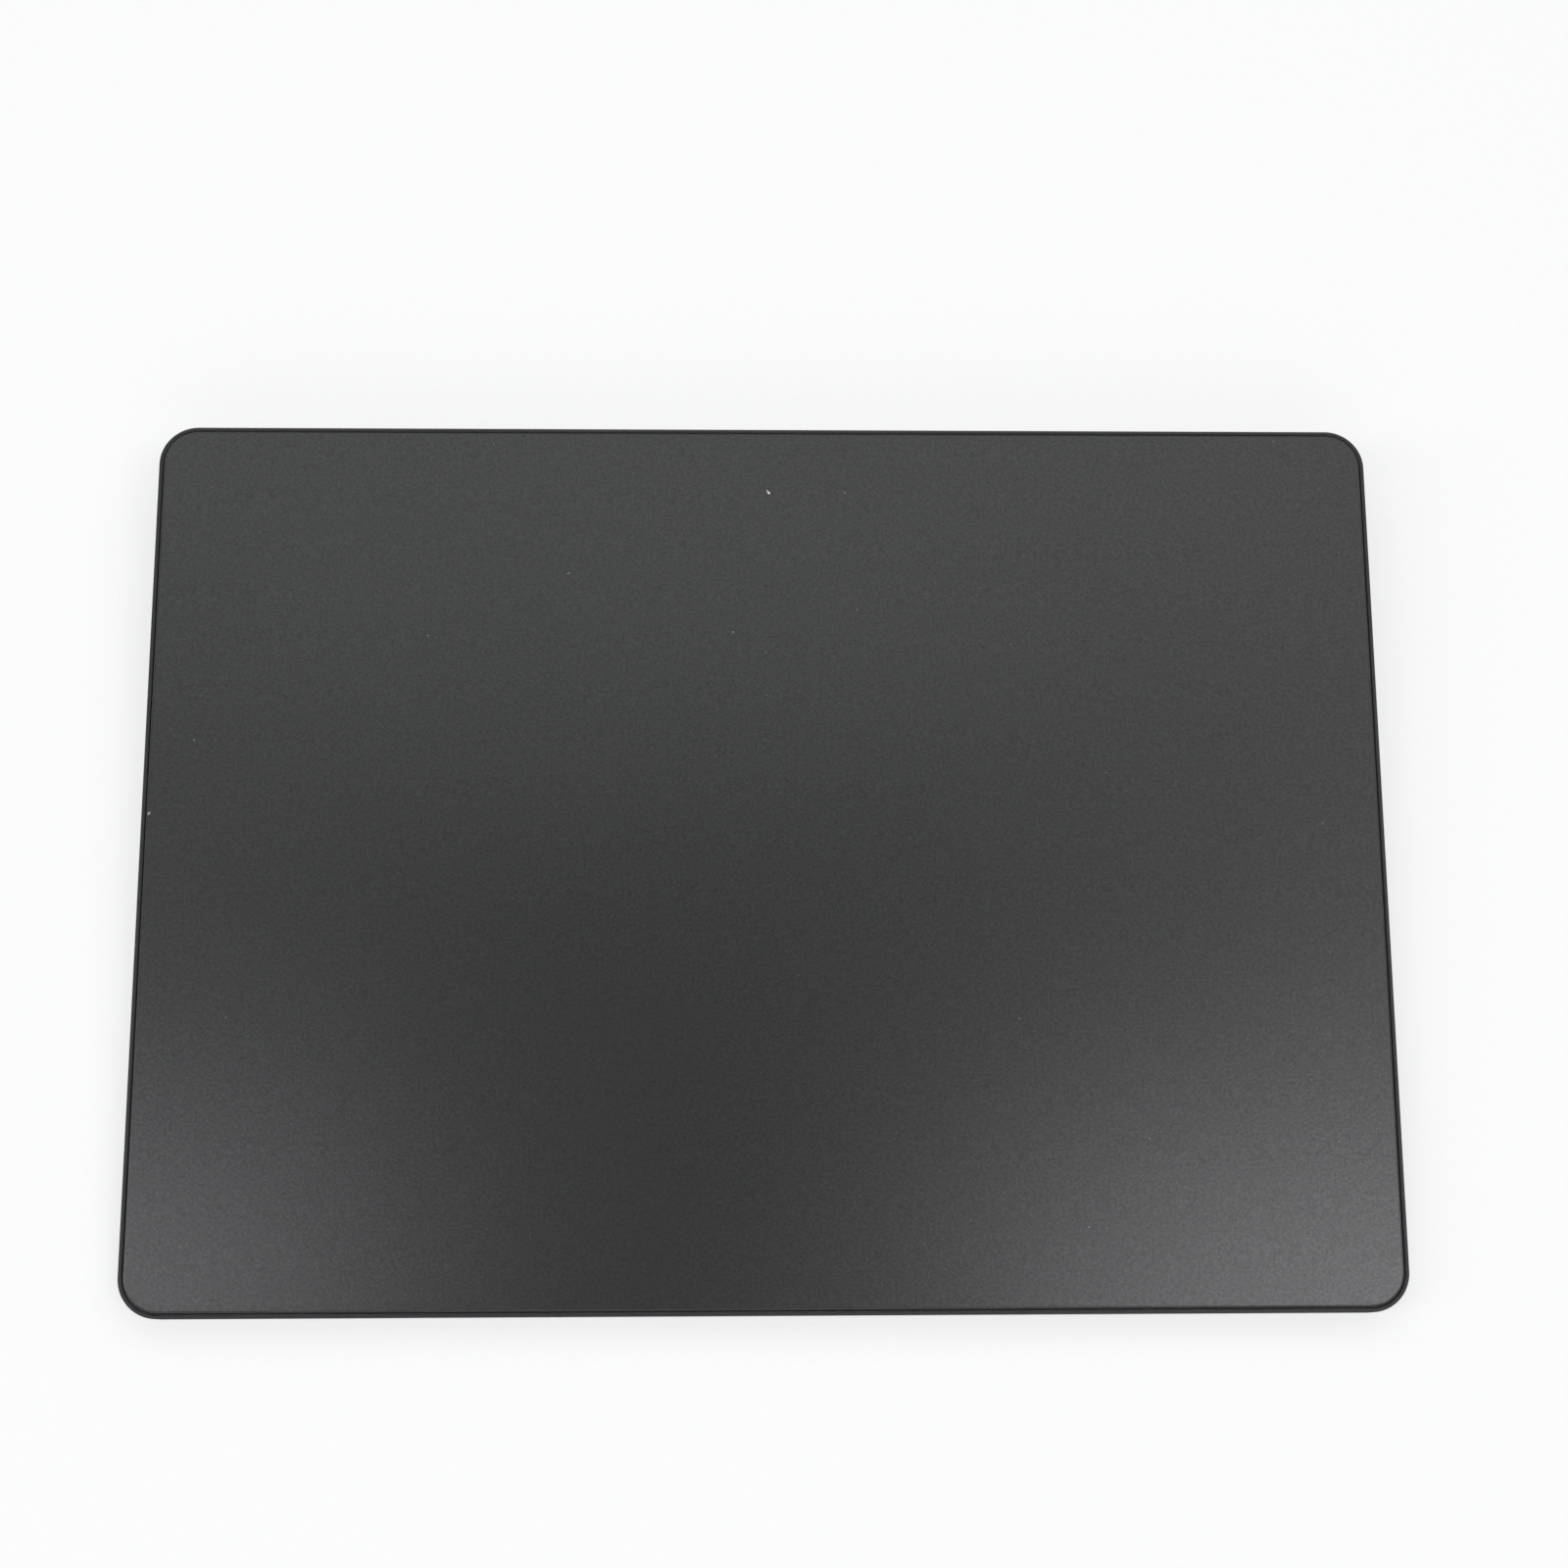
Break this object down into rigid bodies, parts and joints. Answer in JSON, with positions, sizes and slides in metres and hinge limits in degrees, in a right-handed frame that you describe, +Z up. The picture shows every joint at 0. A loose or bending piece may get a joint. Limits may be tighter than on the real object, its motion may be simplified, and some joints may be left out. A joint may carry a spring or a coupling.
{
  "type": "desktop trackpad",
  "caption": "Flat wedge-shaped desktop trackpad: dark frosted touch glass in a thin metal rim, rear charging port and slide switch, rubber feet below.",
  "frame": {"origin": "centre of the footprint on the desk, at the level of the feet's undersides", "axes": "+X to the user's right along the long side, +Y away from the user to the thick rear edge with the port, +Z up"},
  "size_m": [0.16, 0.115, 0.0109],
  "materials": {
    "glass": "satin",
    "case_aluminium": "satin",
    "cover_aluminium": "matte",
    "foot_rubber": "matte",
    "adhesive": "matte",
    "foam": "matte",
    "circuit_board": "satin",
    "spring_steel": "satin",
    "plate_steel": "satin",
    "screw_steel": "satin",
    "gel": "gloss",
    "stop_rubber": "matte",
    "gauge_film": "satin",
    "flex_film": "satin",
    "core_steel": "matte",
    "coil_copper": "satin",
    "chip_epoxy": "matte",
    "shield_steel": "satin",
    "contact_gold": "polished",
    "ceramic": "satin",
    "connector_plastic": "matte",
    "battery_pouch": "satin",
    "nickel": "satin",
    "carrier_plastic": "matte",
    "switch_plastic": "satin",
    "mark_green": "matte"
  },
  "bodies": {
    "chassis": {"enclosure": "case_aluminium", "base_cover": "cover_aluminium", "base_adhesive": "adhesive", "foot_front_left": "foot_rubber", "foot_front_right": "foot_rubber", "foot_rear_left": "foot_rubber", "foot_rear_right": "foot_rubber", "dust_gasket": "foam", "force_flexures": "spring_steel", "flexure_screws": "screw_steel", "strain_gauges": "gauge_film", "press_stops": "stop_rubber", "haptic_bracket": "plate_steel", "haptic_core": "core_steel", "haptic_coils": "coil_copper", "haptic_screws": "screw_steel", "haptic_flex": "flex_film", "battery_cell": "battery_pouch", "battery_tape": "adhesive", "battery_tabs": "nickel", "battery_board": "circuit_board", "battery_flex": "flex_film", "logic_board": "circuit_board", "board_screws": "screw_steel", "board_sockets": "connector_plastic", "touch_socket": "connector_plastic", "touch_flex": "flex_film", "main_processor": "chip_epoxy", "memory_chip": "chip_epoxy", "radio_chip": "chip_epoxy", "charger_chip": "chip_epoxy", "power_inductor": "core_steel", "clock_crystal": "shield_steel", "board_capacitors": "ceramic", "shield_can": "shield_steel", "port_shell": "shield_steel", "port_tongue": "connector_plastic", "port_contacts": "contact_gold", "port_gasket": "stop_rubber", "antenna_carrier": "carrier_plastic", "antenna": "contact_gold", "antenna_feed": "flex_film", "switch_body": "connector_plastic", "switch_guide": "connector_plastic"},
    "sprung_heads": {"flexure_heads": "plate_steel", "head_rivets": "screw_steel", "gel_pads": "gel"},
    "touch_plate": {"touch_glass": "glass", "glass_adhesive": "adhesive", "sensor_board": "circuit_board", "sensor_chips": "chip_epoxy", "sensor_connector": "connector_plastic", "stiffener_plate": "plate_steel", "attraction_bars": "core_steel"},
    "power_switch": {"switch_cap": "switch_plastic", "switch_mark": "mark_green", "switch_plunger": "connector_plastic"}
  },
  "joints": [
    {"name": "touch_press", "type": "slide", "parent": "chassis", "child": "sprung_heads", "axis": [0, 0.0521, -0.9986], "range_m": [0, 0.0002], "stiffness_N_per_m": 10000, "springref_m": -0.00012, "deforming": ["force_flexures", "touch_flex"]},
    {"name": "haptic_shift", "type": "slide", "parent": "sprung_heads", "child": "touch_plate", "axis": [1, 0, 0], "range_m": [-0.0001, 0.0001], "stiffness_N_per_m": 5000},
    {"name": "power_slide", "type": "slide", "parent": "chassis", "child": "power_switch", "axis": [1, 0, 0], "range_m": [0, 0.002]}
  ]
}
